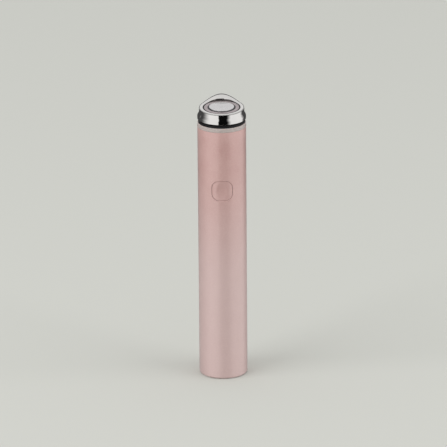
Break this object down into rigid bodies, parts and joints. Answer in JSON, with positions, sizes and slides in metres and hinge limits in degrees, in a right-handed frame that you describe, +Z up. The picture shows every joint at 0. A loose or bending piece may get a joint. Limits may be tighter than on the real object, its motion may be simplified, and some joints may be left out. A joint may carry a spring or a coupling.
{
  "type": "facial toning device",
  "caption": "Slim upright stick for facial toning: satin pink barrel with a flush push button, a light ring and a polished head with a centre and a ring electrode under a rising rim.",
  "frame": {"origin": "centre of the standing edge, on the barrel's axis", "axes": "+Z up along the barrel to the head; -Y is the front with the button; +X to the right seen from the front; the rim's tip is at the back, +Y"},
  "size_m": [0.023, 0.023, 0.1366],
  "materials": {
    "battery_wrap": "shrink-sleeved lithium cell",
    "black_moulding": "black moulded nylon",
    "board_green": "solder-masked glass epoxy",
    "chip_resin": "moulded epoxy packages",
    "copper_wire": "enamelled copper wire",
    "electrode_plate": "polished plated electrodes",
    "ferrite": "sintered ferrite",
    "flex_film": "polyimide flexible circuit",
    "foam": "closed-cell foam",
    "frame_resin": "natural grey moulded ABS",
    "gold_plate": "gold plated contacts",
    "head_gasket": "black silicone gasket",
    "lamp": "surface-mounted lamps",
    "light_guide": "translucent diffusing polycarbonate, unlit",
    "motor_steel": "drawn steel can",
    "nickel_strip": "spot-welded nickel strip",
    "passives": "small ceramic parts",
    "polished_chrome": "mirror-polished plating over die-cast zinc",
    "port_steel": "nickel plated deep-drawn steel",
    "satin_pink": "satin pearl lacquer over moulded ABS",
    "satin_pink_button": "satin lacquered ABS with a shallow dish",
    "satin_pink_cap": "satin moulded ABS",
    "screw_steel": "zinc plated steel",
    "seal_rubber": "moulded silicone",
    "switch_stem": "moulded nylon",
    "tungsten": "sintered tungsten alloy",
    "wire_insulation": "PVC insulated leads"
  },
  "bodies": {
    "housing": {"barrel": "satin_pink", "base_cap": "satin_pink_cap", "base_seal": "seal_rubber", "port_shell": "port_steel", "port_tongue": "black_moulding", "port_contacts": "gold_plate", "charge_board": "board_green", "board_header": "black_moulding", "frame": "frame_resin", "battery_cell": "battery_wrap", "battery_tabs": "nickel_strip", "battery_pad": "foam", "main_board": "board_green", "board_chips": "chip_resin", "board_passives": "passives", "board_screws": "screw_steel", "transformer_core": "ferrite", "transformer_coil": "copper_wire", "switch_body": "black_moulding", "motor_can": "motor_steel", "motor_boot": "seal_rubber", "motor_leads": "wire_insulation", "flex_cable": "flex_film", "lamp_board": "board_green", "lamps": "lamp", "contact_pins": "gold_plate", "head_screws": "screw_steel", "light_ring": "light_guide", "head_seal": "seal_rubber", "head_gasket": "head_gasket", "electrode_carrier": "black_moulding", "head_shell": "polished_chrome", "ring_electrode": "electrode_plate", "insulator_ring": "black_moulding", "face_seal": "seal_rubber", "centre_electrode": "electrode_plate"},
    "button": {"button_cap": "satin_pink_button", "switch_stem": "switch_stem"},
    "rotor": {"motor_shaft": "screw_steel", "motor_weight": "tungsten"}
  },
  "joints": [
    {"name": "button_press", "type": "slide", "parent": "housing", "child": "button", "axis": [0, 1, 0], "range_m": [0, 0.0004], "stiffness_N_per_m": 150, "springref_m": -0.0005},
    {"name": "motor_spin", "type": "hinge", "parent": "housing", "child": "rotor", "pos_m": [0, 0.0035, 0.1098], "axis": [0, 0, 1], "continuous": true}
  ]
}
